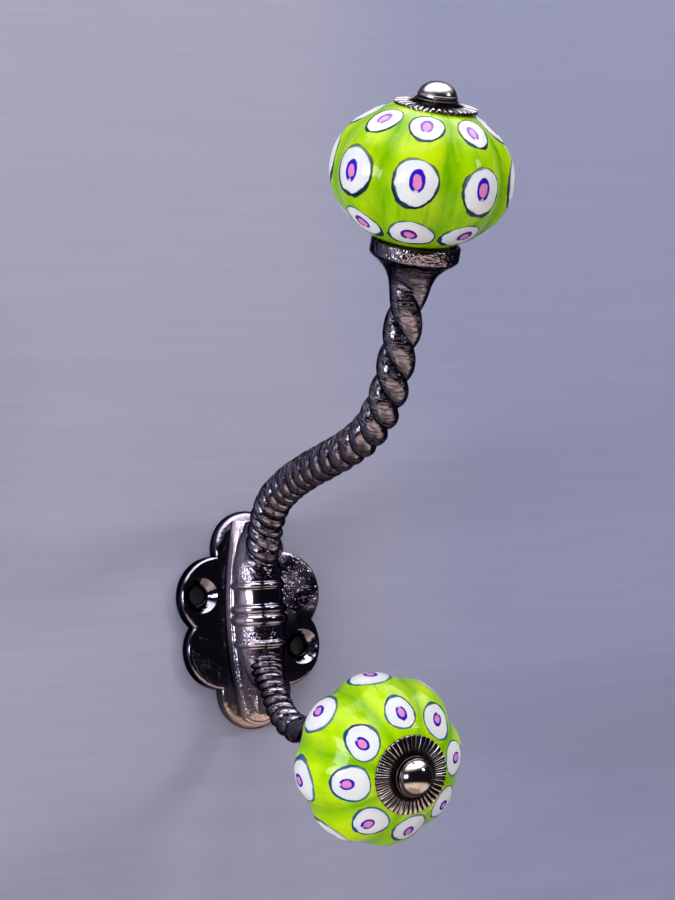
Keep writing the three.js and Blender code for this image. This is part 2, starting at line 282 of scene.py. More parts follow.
def black_nickel():
    """Cast metal under bright black nickel: pitted where it was left rough, with fine marks across the arms.

    Where satin is set the plating is duller and paler lavender: partly a duller finish, partly painted reflection of
    the lavender wall and painted light on faces in shade. Where bare is set it is duller and brown: painted
    reflection of the warm floor."""
    n = Nodes("black_nickel_casting")
    place = n.place()
    rough = n.read("rough")
    satin_and_sheen = n.read("satin_and_sheen")
    floor_sheen = n.read("floor_sheen")
    pits = n.noise(place, 0.95, 2.0, 0.5)
    grains = n.noise(place, 2.2, 2.0, 0.5)
    waves = n.noise(place, 0.22, 1.0, 0.5)
    marks_at = n.new("ShaderNodeCombineXYZ",
                     {0: n.mul(n.read("along"), 2.2), 1: n.read("side"), 2: n.read("top")}).outputs[0]
    marks = n.noise(marks_at, 1.0, 3.0, 0.65)
    scratches = n.mul(n.span(marks, 0.50, 0.60), n.read("filed"))
    height = n.add(n.mul(pits, rough), n.mul(grains, n.mul(rough, 0.22)))
    first = n.bump(height, 0.60)
    fine = n.add(n.mul(scratches, -0.14), n.add(n.mul(marks, 0.03), n.mul(waves, 0.35)))
    second = n.bump(fine, 0.5, 1.0, first)
    tint = n.mix(n.span(waves, 0.3, 0.7), (0.070, 0.066, 0.094), (0.058, 0.054, 0.076))
    tone_and_sheen = n.mix(n.mul(rough, n.span(grains, 0.42, 0.62)), tint, (0.100, 0.092, 0.122))
    # painted reflection and painted light: pale lavender where satin is set, over a duller finish
    tone_and_sheen = n.mix(n.mul(satin_and_sheen, n.span(grains, 0.3, 0.6, 0.6, 1.0)), tone_and_sheen, (0.350, 0.300, 0.385))
    # painted reflection of the warm floor: brown where bare is set, which is also duller
    tone_and_sheen = n.mix(n.mul(floor_sheen, n.span(grains, 0.3, 0.6, 0.7, 1.0)), tone_and_sheen, (0.150, 0.108, 0.088))
    colour = n.mix(n.mul(scratches, 0.6), tone_and_sheen, (0.020, 0.016, 0.018))
    dull = n.math("MAXIMUM", satin_and_sheen, floor_sheen)
    gloss = n.add(n.span(pits, 0.35, 0.75, 0.06, 0.10), n.mul(dull, 0.28))
    metal = n.math("MULTIPLY_ADD", dull, -0.6, 1.0)
    n.shader.inputs["Specular IOR Level"].default_value = 0.1
    n.shader.inputs["Specular Tint"].default_value = (0.15, 0.145, 0.19, 1)
    return n.set(Base_Color=colour, Metallic=metal, Roughness=gloss, Normal=second)


def bright_plating(name, light, dark, roughness):
    """Bright nickel on the small hardware, with painted shade making it dark in hollows, crevices and undersides."""
    n = Nodes(name)
    place = n.place()
    spots = n.noise(place, 1.4, 3.0, 0.6)
    swirl = n.noise(n.stretched(place, 0.5, 0.5, 6.0), 1.0, 2.0, 0.5)
    colour = n.mix(n.span(spots, 0.35, 0.65), light, dark)
    # painted shade: near black where the mesh marks shade
    painted_shade = n.mix(n.read("crevice_shade"), colour, (0.006, 0.005, 0.006))
    n.shader.inputs["Specular Tint"].default_value = (0.35, 0.33, 0.36, 1)
    gloss = n.add(n.span(spots, 0.3, 0.7, roughness, roughness + 0.06), n.mul(n.read("crevice_shade"), 0.25))
    normal = n.bump(n.add(swirl, n.mul(spots, 0.5)), 0.02)
    return n.set(Base_Color=painted_shade, Metallic=1.0, Roughness=gloss, Normal=normal)


def plain_steel():
    n = Nodes("turned_steel")
    place = n.place()
    lines = n.noise(n.stretched(place, 0.3, 0.3, 8.0), 1.0, 2.0, 0.6)
    colour = n.mix(lines, (0.42, 0.42, 0.44), (0.58, 0.58, 0.6))
    return n.set(Base_Color=colour, Metallic=1.0, Roughness=n.span(lines, 0.2, 0.8, 0.28, 0.42),
                 Normal=n.bump(lines, 0.03))


def soft_rubber():
    n = Nodes("rubber")
    grain = n.noise(n.place(), 3.0, 3.0, 0.6)
    colour = n.mix(grain, (0.012, 0.012, 0.013), (0.03, 0.03, 0.032))
    return n.set(Base_Color=colour, Roughness=n.span(grain, 0.2, 0.8, 0.65, 0.85), Normal=n.bump(grain, 0.05))


KNOB_RADIUS, KNOB_HALF_HEIGHT = 20.0, 15.6
KNOB_FOOT, KNOB_CROWN = -15.0, 14.4
LOBES, LOBE_DEPTH = 8, 1.2
VIOLET, COBALT, PLUM = (0.100, 0.045, 0.380), (0.020, 0.006, 0.330), (0.055, 0.004, 0.200)


def dot_row(latitude, wide, high, ring_wide, ring_high, ring):
    """A row of painted dots: latitude in degrees, half sizes round and up the knob in mm, and the inner ring's."""
    return {"latitude": latitude, "wide": wide, "high": high, "ring_wide": ring_wide, "ring_high": ring_high,
            "ring": ring}


DOT_ROWS = {
    "upper": (dot_row(48.5, 4.0, 4.3, 1.25, 1.7, VIOLET), dot_row(3.5, 5.1, 5.4, 1.5, 2.2, COBALT),
              dot_row(-41.5, 4.9, 4.5, 1.6, 1.7, PLUM)),
    "lower": (dot_row(47.0, 4.0, 4.3, 1.15, 1.6, COBALT), dot_row(-1.5, 4.9, 5.2, 1.35, 1.8, COBALT),
              dot_row(-41.5, 4.6, 4.5, 1.4, 1.5, PLUM)),
}
DOT_SHIFT = {"upper": 0.5, "lower": 0.0}
# painted shade: how far each knob's whole glaze is darkened, more on the upper knob
GLAZE_PAINTED_SHADE = {"upper": 0.24, "lower": 0.12}
GLAZE_STREAKS = {"upper": 0.60, "lower": 0.35}
OUTLINE_INKS = {"upper": ((0.001, 0.004, 0.014), (0.002, 0.020, 0.045)),
                "lower": ((0.002, 0.010, 0.060), (0.002, 0.050, 0.150))}


def painted_glaze(hook, seed, rows, shift, painted_shade, streaky):
    """Lime glaze with three rows of painted dots, one dot of each row on every lobe."""
    n = Nodes(f"{hook}_painted_glaze")
    place = n.place()
    parts = n.new("ShaderNodeSeparateXYZ", {0: place}).outputs
    x, y, z = parts
    outward = n.math("SQRT", n.add(n.mul(x, x), n.mul(y, y)))
    turn = n.math("ARCTAN2", y, x)
    lobe = n.math("ROUND", n.mul(turn, LOBES / (2 * math.pi)))
    from_crest = n.math("SUBTRACT", turn, n.mul(lobe, 2 * math.pi / LOBES))
    lobe_number = n.math("FLOORED_MODULO", lobe, float(LOBES))
    latitude = n.math("ARCSINE", n.math("MINIMUM", n.math("MAXIMUM", n.mul(z, 1 / KNOB_HALF_HEIGHT), -0.999), 0.999))
    groove = n.math("ABSOLUTE", n.mul(from_crest, LOBES / math.pi))

    round_x, round_y = (n.mul(n.math(function, turn), 9.0) for function in ("COSINE", "SINE"))
    streak_at = n.new("ShaderNodeCombineXYZ",
                      {0: round_x, 1: round_y, 2: n.math("MULTIPLY_ADD", latitude, 1.8, float(seed))}).outputs[0]
    streaks = n.noise(streak_at, 1.0, 3.0, 0.6)
    clouds = n.noise(place, 0.11, 2.0, 0.5)
    fine = n.noise(place, 0.9, 2.0, 0.5)
    deep = n.add(n.mul(n.span(groove, 0.50, 1.0), 0.70), n.mul(n.span(streaks, 0.45, 0.70), streaky))
    glaze = n.mix(n.span(clouds, 0.35, 0.68), (0.270, 0.500, 0.001), (0.430, 0.610, 0.003))
    glaze = n.mix(n.math("MULTIPLY", deep, 0.78, clamp=True), glaze, (0.085, 0.300, 0.000))
    glaze = n.mix(n.mul(n.span(fine, 0.62, 0.8), 0.25), glaze, (0.50, 0.66, 0.02))
    # painted shade over the whole knob
    glaze = n.mix(painted_shade, glaze, (0.020, 0.060, 0.000))

    colour = glaze
    raised = None
    wobble = n.noise(place, 0.13, 0.0, 0.5)
    jitter = n.noise(place, 1.1, 2.0, 0.5)
    brush = n.noise(place, 0.38, 2.0, 0.5)
    for number, row in enumerate(rows):
        middle = math.radians(row["latitude"])
        stretch = math.hypot(KNOB_RADIUS * math.sin(middle), KNOB_HALF_HEIGHT * math.cos(middle))
        which = n.new("ShaderNodeCombineXYZ", {0: lobe_number, 1: float(number), 2: float(seed)}).outputs[0]
        luck = n.new("ShaderNodeTexWhiteNoise", {"Vector": which}, noise_dimensions="3D").outputs["Color"]
        luck = n.new("ShaderNodeSeparateColor", {0: luck}).outputs
        u = n.add(n.mul(from_crest, outward), n.math("MULTIPLY_ADD", luck[0], 0.9, -0.45 - shift))
        v = n.add(n.mul(n.math("SUBTRACT", latitude, middle), stretch), n.math("MULTIPLY_ADD", luck[1], 0.9, -0.45))
        size = n.math("MULTIPLY_ADD", luck[2], 0.12, 0.94)
        du = n.mul(u, 1 / row["wide"])
        dv = n.mul(v, 1 / row["high"])
        reach = n.math("SQRT", n.add(n.mul(du, du), n.mul(dv, dv)))
        reach = n.math("DIVIDE", reach, size)
        reach = n.add(reach, n.math("MULTIPLY_ADD", wobble, 0.30, -0.15))
        reach = n.add(reach, n.math("MULTIPLY_ADD", jitter, 0.02, -0.01))
        disc = n.span(reach, 0.96, 1.0, 1.0, 0.0)
        heavy = n.span(n.math("SUBTRACT", n.mul(du, -0.5), dv), -0.7, 0.9, 0.07, 0.13)
        edge = n.math("ABSOLUTE", n.math("SUBTRACT", reach, 0.98))
        heavy = n.mul(heavy, n.span(brush, 0.3, 0.7, 0.45, 1.35))
        outline = n.math("SUBTRACT", 1.0, n.math("DIVIDE", edge, heavy), clamp=True)
        outline = n.span(outline, 0.0, 0.5)
        ru = n.mul(n.add(u, n.math("MULTIPLY_ADD", luck[1], 1.2, -0.6)), 1 / row["ring_wide"])
        rv = n.mul(n.add(v, n.math("MULTIPLY_ADD", luck[2], 1.2, -0.6)), 1 / row["ring_high"])
        ring_reach = n.math("SQRT", n.add(n.mul(ru, ru), n.mul(rv, rv)))
        ring_reach = n.add(ring_reach, n.math("MULTIPLY_ADD", brush, 0.44, -0.22))
        ring_reach = n.add(ring_reach, n.math("MULTIPLY_ADD", jitter, 0.20, -0.10))
        pink = n.span(ring_reach, 0.80, 0.93, 1.0, 0.0)
        thick = n.span(brush, 0.3, 0.7, 0.13, 0.24)
        ring = n.math("SUBTRACT", n.math("ABSOLUTE", n.math("SUBTRACT", ring_reach, 0.9)), thick)
        ring = n.span(ring, 0.0, 0.09, 1.0, 0.0)
        gap = n.span(n.add(rv, n.mul(n.math("ABSOLUTE", ru), 1.2)), -0.75, -0.5, 0.25, 1.0)
        ring = n.mul(ring, gap)
        white = n.mix(n.span(clouds, 0.3, 0.7), (0.57, 0.57, 0.56), (0.50, 0.52, 0.55))
        white = n.mix(n.span(reach, 0.55, 1.0, 0.0, 0.35), white, (0.38, 0.50, 0.60))
        ink = n.mix(n.span(brush, 0.35, 0.6), *OUTLINE_INKS[hook])
        colour = n.mix(disc, colour, white)
        colour = n.mix(n.mul(pink, disc), colour, (0.50, 0.17, 0.36))
        colour = n.mix(n.mul(ring, disc), colour, row["ring"])
        colour = n.mix(n.mul(outline, n.span(dv, -0.6, 1.0, 1.0, 0.8)), colour, ink)
        raised = disc if raised is None else n.add(raised, disc)
    ripples = n.noise(place, 0.26, 2.0, 0.5)
    height = n.add(n.mul(raised, 0.25), n.add(n.mul(ripples, 0.30), n.mul(streaks, 0.12)))
    normal = n.bump(height, 0.5)
    n.shader.inputs["IOR"].default_value = 1.42
    n.shader.inputs["Specular IOR Level"].default_value = 0.07
    return n.set(Base_Color=colour, Roughness=n.span(fine, 0.2, 0.8, 0.07, 0.12), Normal=normal)


CASTING = black_nickel()
DOMES = {
    "upper": bright_plating("satin_nickel", (0.150, 0.143, 0.152), (0.112, 0.107, 0.115), 0.20),
    "lower": bright_plating("bright_nickel", (0.135, 0.130, 0.140), (0.100, 0.096, 0.104), 0.08),
}
FLUTES = bright_plating("fluted_nickel", (0.150, 0.145, 0.165), (0.100, 0.096, 0.112), 0.10)
STEEL = plain_steel()
RUBBER = soft_rubber()

# ------------------------------------------------------------------ backplate

LOBE_CIRCLES = ((9.0, 6.5, 10.8), (0.5, 18.4, 9.7), (-8.9, 6.7, 10.3), (-7.9, -6.7, 10.2), (0.4, -17.7, 9.8),
                (8.9, -6.7, 10.3))  # x, z and radius
PLATE_THICKNESS, PLATE_EDGE = 3.8, 1.1
TOP_SLOPE = (2.9, 1.3)  # across the top lobe the face slopes back to its edge: width and fall
BOTTOM_FALL = (17.0, 0.020)  # the bottom lobe curves back below here, by so much for each square millimetre
WALL_HOLES = ((-13.8, 7.3), (13.8, -7.3))
FIXING_HOLES = (13.0, -12.0)


def lobe_depth(x, z):
    """How far a point of the plate is inside its outline, measured in the lobe that holds it deepest."""
    return np.max([r - np.hypot(x - cx, z - cz) for cx, cz, r in LOBE_CIRCLES], axis=0)


def outline_radius(angle):
    """Distance from the plate's centre to its outline."""
    best = np.zeros_like(angle)
    for cx, cz, r in LOBE_CIRCLES:
        ahead = cx * np.cos(angle) + cz * np.sin(angle)
        inside = r * r - cx * cx - cz * cz + ahead * ahead
        best = np.maximum(best, np.where(inside > 0, ahead + np.sqrt(np.maximum(inside, 0)), 0))
    return best


def edge_height(depth, z):
    """Height of the plate's front face at a depth inside the outline, behind a rounded edge."""
    d = np.clip(depth / PLATE_EDGE, 0, 1)
    edge = PLATE_THICKNESS - PLATE_EDGE + PLATE_EDGE * np.sqrt(np.maximum(1 - (1 - d) ** 2, 0))
    top = TOP_SLOPE[1] * (1 - np.clip(depth / TOP_SLOPE[0], 0, 1)) ** 1.2 * smoothstep(z, 17, 24)
    return edge - top - BOTTOM_FALL[1] * np.maximum(-z - BOTTOM_FALL[0], 0) ** 2


def cutter(profile, x, z):
    """A turned cutter whose axis points off the wall, at a place on the plate."""
    rings = turned_rings(profile, 64)
    points = np.stack([rings[..., 0] + x, -rings[..., 2], rings[..., 1] + z], axis=-1)
    return ring_object("cutter", points, sharp=None)


def cut_away(made, tools):
    for tool in tools:
        modifier = made.modifiers.new("cut", "BOOLEAN")
        modifier.operation, modifier.solver, modifier.object = "DIFFERENCE", "EXACT", tool
    depsgraph = bpy.context.evaluated_depsgraph_get()
    cut_mesh = bpy.data.meshes.new_from_object(made.evaluated_get(depsgraph))
    made.modifiers.clear()
    old, made.data = made.data, cut_mesh
    bpy.data.meshes.remove(old)
    for tool in tools:
        bpy.data.objects.remove(tool)


def build_backplate():
    columns = 540
    angle = np.linspace(0, 2 * np.pi, columns, endpoint=False)
    reach = outline_radius(angle)
    inset = np.concatenate([PLATE_EDGE * (1 - np.cos(np.linspace(0, np.pi / 2, 9))), np.linspace(1.4, 8, 16)])
    rim_x, rim_z = reach * np.cos(angle), reach * np.sin(angle)
    rim_height = edge_height(np.zeros(columns), rim_z)
    rings = [np.stack([rim_x, -share * rim_height, rim_z], axis=-1) for share in (0.0, 0.35, 0.7)]
    for d in inset:
        share = np.maximum(reach - d, 0.2)
        x, z = share * np.cos(angle), share * np.sin(angle)
        rings.append(np.stack([x, -edge_height(lobe_depth(x, z), z), z], axis=-1))
    for fraction in (0.75, 0.5, 0.25, 0.08):
        share = np.maximum(reach - inset[-1], 0.2) * fraction
        x, z = share * np.cos(angle), share * np.sin(angle)
        rings.append(np.stack([x, -edge_height(lobe_depth(x, z), z), z], axis=-1))
    plate = ring_object("backplate_casting", rings, sharp=None)
    top = PLATE_THICKNESS
    sink = rounded([(0.05, -1), (2.3, -1), (2.3, top - 2.1), (4.4, top), (4.9, top + 0.35), (5.2, top + 2),
                    (0.05, top + 2)], 0.5)
    rear = [(0.05, -1), (4.2, -1), (4.2, 0.2), (2.2, 2.5), (2.2, 8), (0.05, 8)]
    cut_away(plate, [cutter(sink, x, z) for x, z in WALL_HOLES] + [cutter(rear, 0, z) for z in FIXING_HOLES])
    points = np.array([v.co for v in plate.data.vertices]) / MM
    front = smoothstep(-points[:, 1], 0.6, 2.0)
    uneven = 0.10 * lumps(points, 7, 3) * front
    normals = np.array([v.normal for v in plate.data.vertices])
    points += normals * (uneven - 0.05)[:, None] * front[:, None]
    plate.data.vertices.foreach_set("co", (points * MM).astype(np.float32).ravel())
    plate.data.shade_smooth()
    plate.data.set_sharp_from_angle(angle=math.radians(40))
    # the right-hand lobes were left rougher than the polished left-hand ones
    upper_right = smoothstep(points[:, 0], -1, 6) * smoothstep(points[:, 2], -3, 4)
    attribute(plate, "rough", 0.10 + 0.40 * upper_right + 0.20 * smoothstep(-points[:, 2], 10, 22))
    # painted reflection of the lavender wall on the upper right lobes, where the finish is also duller
    attribute(plate, "satin_and_sheen", 0.30 * upper_right * smoothstep(lumps(points, 6, 8), -0.5, 0.4))
    # painted reflection of the warm floor: browner towards the bottom of the front
    attribute(plate, "floor_sheen", 0.55 * smoothstep(-points[:, 2], 12, 27) * (points[:, 1] < -0.5))
    return plate


# ------------------------------------------------------------------ arms with their cups

CUP_RIM, CUP_FLOOR = -14.6, -16.8
ROD_ZERO = -15.4  # distances along the rod count from here on the knob's axis
ARM_ROUTES = {
    "upper": {
        "route": ((-88.5, 66.5), (-85.3, 60), (-81, 52.7), (-76.3, 47.7), (-70.3, 43.7), (-61.5, 40.7), (-51, 38.5),
                  (-40, 36.4), (-29, 33.7), (-20, 29.9), (-14.8, 24.5), (-12.2, 18.5), (-8.5, 12)),
        "radius": (4.25, 4.6), "density": 0.08, "growth": 0.0019, "even": 0, "sink": (7.0, 1.0),
        "depth": (1.20, 0.70), "flare": 0.0,
    },
    "lower": {
        "route": ((-29.5, -26.3), (-22.8, -25.2), (-17.6, -22.3), (-14.1, -17.7), (-11.0, -12), (-8.8, -4)),
        "radius": (4.0, 3.3), "density": 0.08, "growth": 0.0185, "even": 20, "sink": (6.0, 1.0),
        "depth": (1.10, 0.70), "flare": 1.0,
    },
}
ARM_START, ARM_BEND = -20.0, -27.0


def half_turns(spec, distance):
    """How many half turns the rod has made: evenly at first, then ever closer together."""
    return spec["density"] * max(distance, 0.0) + spec["growth"] / 2 * max(distance - spec["even"], 0.0) ** 2


def smooth_curve(points, per_span=60):
    """A centripetal Catmull-Rom curve through the points."""
    points = np.array(points, float)
    points = np.vstack([2 * points[0] - points[1], points, 2 * points[-1] - points[-2]])
    made = []
    for p0, p1, p2, p3 in zip(points, points[1:], points[2:], points[3:]):
        t0 = 0.0
        t1 = t0 + np.linalg.norm(p1 - p0) ** 0.5
        t2 = t1 + np.linalg.norm(p2 - p1) ** 0.5
        t3 = t2 + np.linalg.norm(p3 - p2) ** 0.5
        t = np.linspace(t1, t2, per_span, endpoint=False)[:, None]
        a1 = (t1 - t) / (t1 - t0) * p0 + (t - t0) / (t1 - t0) * p1
        a2 = (t2 - t) / (t2 - t1) * p1 + (t - t1) / (t2 - t1) * p2
        a3 = (t3 - t) / (t3 - t2) * p2 + (t - t2) / (t3 - t2) * p3
        b1 = (t2 - t) / (t2 - t0) * a1 + (t - t0) / (t2 - t0) * a2
        b2 = (t3 - t) / (t3 - t1) * a2 + (t - t1) / (t3 - t1) * a3
        made.append((t2 - t) / (t2 - t1) * b1 + (t - t1) / (t2 - t1) * b2)
    return np.vstack(made + [points[-2:-1]])


CUP_OUTSIDE = ((-0.8, 9.4), (-0.45, 9.8), (2.3, 9.8), (2.9, 9.35), (4.3, 7.45), (6.1, 5.8), (8.4, 4.75), (11.0, 4.0),
               (14.0, 3.0))  # distance along the rod and radius
CUP_EDGE = 3.1  # below here the cup narrows into the rod
COLUMNS = 96
MARK_LENGTH = 1.4  # fewer and longer marks round the rod as this gets less


def build_arm(hook):
    """One swept body: the recess and rim of the cup, its flare, and the twisted rod down to the boss."""
    spec = ARM_ROUTES[hook]
    axis = KNOB_AXIS[hook] / np.linalg.norm(KNOB_AXIS[hook])
    centre = KNOB_CENTRE[hook]
    bent = [np.array([0.0, y, z]) for y, z in spec["route"]]
    line = smooth_curve([centre + axis * ARM_START, centre + axis * ARM_BEND, *bent])
    walked = np.concatenate([[0], np.cumsum(np.linalg.norm(np.diff(line, axis=0), axis=1))])
    start = ROD_ZERO - ARM_START
    end = start + walked[-1]

    def at(distance):
        """The axis point and tangent at a distance along the rod."""
        if distance <= start:
            return centre + axis * (ROD_ZERO - distance), -axis
        here, ahead = (np.array([np.interp(distance - start + step, walked, line[:, i]) for i in range(3)])
                       for step in (-0.15, 0.15))
        return (here + ahead) / 2, (ahead - here) / np.linalg.norm(ahead - here)

    floor_at, rim_at = ROD_ZERO - CUP_FLOOR, ROD_ZERO - CUP_RIM
    recess = rounded([(0.1, floor_at), (8.3, floor_at), (8.75, rim_at), (9.4, rim_at)], 0.3)
    stations = [(distance, radius) for radius, distance in finer(recess, 0.6)]
    below = np.arange(rim_at + 0.05, end, 0.22)
    outside = np.interp(below, *zip(*CUP_OUTSIDE))
    kernel = np.hanning(9) / np.hanning(9).sum()
    padded = np.concatenate([np.full(4, outside[0]), outside, np.full(4, outside[-1])])
    outside = np.where(below > CUP_EDGE, np.convolve(padded, kernel, "valid"), outside)
    stations += list(zip(below, outside))
    angle = np.linspace(0, 2 * np.pi, COLUMNS, endpoint=False)
    rings, along, side, top, rough, filed = [], [], [], [], [], []
    for distance, cup_radius in stations:
        point, tangent = at(distance)
        up = np.cross(tangent, ACROSS)
        radius = np.full(COLUMNS, cup_radius)
        grown = smoothstep(distance, 5.5, 10.0)
        share = np.clip((distance - start) / (end - start), 0, 1)
        flared = smoothstep(distance, end - 14, end - 6) * (spec["flare"] > 0)
        if distance > CUP_EDGE:
            rod = spec["radius"][0] + (spec["radius"][1] - spec["radius"][0]) * share
            rod += spec["flare"] * flared
            rod *= 1 - 0.6 * smoothstep(distance, end - spec["sink"][0], end - spec["sink"][1])
            soft = 0.8
            plain = max(rod, cup_radius) + soft / 4 * max(0.0, 1 - abs(rod - cup_radius) / soft) ** 2
            depth = spec["depth"][0] + (spec["depth"][1] - spec["depth"][0]) * smoothstep(share, 0.25, 0.6)
            radius = plain - grown * depth * (1 - np.abs(np.cos(angle))) ** 1.25
        turn = angle - np.pi * half_turns(spec, distance)
        rings.append(point + radius[:, None] * (np.cos(turn)[:, None] * ACROSS + np.sin(turn)[:, None] * up))
        along.append(np.full(COLUMNS, distance))
        side.append(MARK_LENGTH * np.cos(turn))
        top.append(MARK_LENGTH * np.sin(turn))
        band = 1 - smoothstep(distance, CUP_EDGE - 0.8, CUP_EDGE + 0.6)
        crest = np.abs(np.cos(angle))
        grooves = grown * (1 - smoothstep(crest, 0.35, 0.8))
        rough.append(np.maximum(0.65 * band, np.maximum(0.04, 0.22 * grooves)))
        filed.append((1 - band) * (1 - 0.7 * grooves) * (1 - 0.8 * flared))
    rings = np.array(rings)
    points = rings.reshape(-1, 3)
    arm = ring_object(f"{hook}_arm_casting", rings, sharp=50)
    push_out(arm, points, 0.06 * lumps(points, 6, 5))
    for name, values in (("rough", rough), ("along", along), ("side", side), ("top", top), ("filed", filed)):
        attribute(arm, name, values)
    return arm


# ------------------------------------------------------------------ boss

BOSS_Y = -7.6
BOSS_PROFILE = (
    (0.05, -17.5), (2.9, -15.5), (4.5, -12.0), (5.8, -9.0), (6.3, -6.3), (6.9, -6.0), (7.05, -5.4), (6.9, -4.9),
    (6.35, -4.6), (6.35, -0.9), (6.9, -0.6), (7.25, 0.1), (7.25, 1.0), (6.95, 1.6), (6.5, 2.0), (6.9, 2.4),
    (7.15, 2.8), (7.15, 3.6), (6.8, 4.1), (6.25, 4.4), (6.25, 8.3), (6.8, 8.6), (7.0, 9.1), (6.8, 9.7), (6.25, 10.1),
    (6.0, 14.0), (4.6, 20.0), (2.2, 25.2), (0.05, 25.6),
)


def build_boss():
    profile = finer(rounded(BOSS_PROFILE, 0.35, 3), 0.3)
    rings = turned_rings(profile, 128) + np.array([0, BOSS_Y, 0])
    points = rings.reshape(-1, 3)
    boss = ring_object("ringed_boss_casting", rings, sharp=None)
    push_out(boss, points, 0.05 * lumps(points, 5, 9))
    height = points[:, 2]
    band = (smoothstep(height, -6.5, -4.5) * (1 - smoothstep(height, -1.2, -0.6))
            + smoothstep(height, 10, 11) * (1 - smoothstep(height, 14, 16)))
    attribute(boss, "rough", np.clip(0.10 + 0.42 * band + 0.25 * smoothstep(-height, 6, 9), 0, 1))
    # painted reflection of the lavender wall: paler on the boss's left side
    attribute(boss, "satin_and_sheen", 0.35 * smoothstep(-points[:, 0], 2.0, 5.5))
    return boss


def build_pad():
    top, bottom, half_width, arc = 25.6, -24.3, 7.3, 105.0
    z = np.linspace(bottom, top, 60)
    width = half_width - arc + np.sqrt(arc ** 2 - z ** 2)
    right = np.stack([width, z], axis=-1)
    end = width[0]
    t = np.linspace(0, 1, 24)[1:-1, None]
    tip = np.array([0, bottom - 0.8 * end])
    low = (1 - t) ** 2 * np.array([-end, bottom]) + 2 * t * (1 - t) * tip + t * t * np.array([end, bottom])
    across_top = np.stack([np.linspace(width[-1], -width[-1], 14)[1:-1], np.full(12, top)], axis=-1)
    outline = np.vstack([right, across_top, right[::-1] * np.array([-1, 1]), low])
    ahead = np.roll(outline, -1, axis=0) - np.roll(outline, 1, axis=0)
    inward = np.stack([-ahead[:, 1], ahead[:, 0]], axis=-1) / np.linalg.norm(ahead, axis=1)[:, None]
    steps = [(0.0, 3.9), (0.0, 4.6), (0.02, 4.95), (0.12, 5.2), (0.32, 5.32), (0.5, 5.38), (0.62, 5.5),
             (0.7, 5.75), (0.82, 5.95), (1.05, 6.15), (1.4, 6.35), (2.0, 6.6), (3.0, 6.95)]
    rings = []
    for inset, height in steps:
        moved = outline + inward * inset
        rings.append(np.stack([moved[:, 0], np.full(len(moved), -height), moved[:, 1]], axis=-1))
    squeezed = outline.copy()
    squeezed[:, 0] *= 0.3
    squeezed[:, 1] = np.clip(squeezed[:, 1], bottom + 1, top - 3)
    rings.append(np.stack([squeezed[:, 0], np.full(len(squeezed), -7.6), squeezed[:, 1]], axis=-1))
    pad = ring_object("boss_pad_casting", rings, sharp=30)
    points = np.array([v.co for v in pad.data.vertices]) / MM
    attribute(pad, "rough", 0.18 + 0.3 * smoothstep(points[:, 0], 0, 6) + 0.2 * smoothstep(-points[:, 2], 4, 20))
    # painted light and reflection: paler lavender higher up the pad and less on its shoulders, lifting the face that
    # lies in the boss's shadow
    shoulder = smoothstep(np.abs(points[:, 0]), 4.4, 5.4)
    attribute(pad, "satin_and_sheen", (0.30 + 0.70 * smoothstep(points[:, 2], -12, 4)) * (1 - 0.55 * shoulder))
    # painted reflection of the warm floor: brown towards the bottom
    attribute(pad, "floor_sheen", 0.5 * smoothstep(-points[:, 2], 12, 24))
    return pad


# ------------------------------------------------------------------ knobs and their hardware

KNOB_TURN = {"upper": 10.7, "lower": 7.7}
KNOB_OFFSET = {"upper": -1.0, "lower": 0.0}


def build_knob(hook):
    """A melon-lobed body. Its own frame is turned so that a lobe's crest lies on +X."""
    foot, crown = math.asin(KNOB_FOOT / KNOB_HALF_HEIGHT), math.asin(KNOB_CROWN / KNOB_HALF_HEIGHT)
    latitude = np.linspace(foot, crown, 90)
    profile = [(2.6, KNOB_FOOT + 1.0), (2.6, KNOB_FOOT), (KNOB_RADIUS * math.cos(foot) - 0.6, KNOB_FOOT)]
    profile += [(KNOB_RADIUS * math.cos(a), KNOB_HALF_HEIGHT * math.sin(a)) for a in latitude]
    profile += [(KNOB_RADIUS * math.cos(crown) - 0.8, KNOB_CROWN), (2.6, KNOB_CROWN), (2.6, KNOB_CROWN - 1.0)]
    rings = turned_rings(profile, 288)
    radius = np.hypot(rings[..., 0], rings[..., 1])
    angle = np.arctan2(rings[..., 1], rings[..., 0])
    across = (0.5 - 0.5 * np.cos(LOBES * angle)) ** 1.7
    rng = np.random.default_rng(11 if hook == "upper" else 23)
    depth = LOBE_DEPTH * (1 + 0.25 * np.interp(angle % (2 * np.pi), np.linspace(0, 2 * np.pi, 17),
                                               np.append(rng.uniform(-1, 1, 16), 0)))
    reach = smoothstep(radius, KNOB_RADIUS / 2, KNOB_RADIUS)
    scale = 1 - depth * across * reach / radius
    scale = scale * (1 - 0.006 * reach * (1 + lumps(rings, 24, rng.integers(99))))
    rings[..., :2] *= scale[..., None]
    matrix = axis_matrix(hook) @ Matrix.Translation((KNOB_OFFSET[hook] * MM, 0, 0)) @ Matrix.Rotation(
        math.radians(KNOB_TURN[hook]), 4, "Z")
    return ring_object(f"{hook}_ceramic_knob", rings, False, False, matrix=matrix, sharp=40)


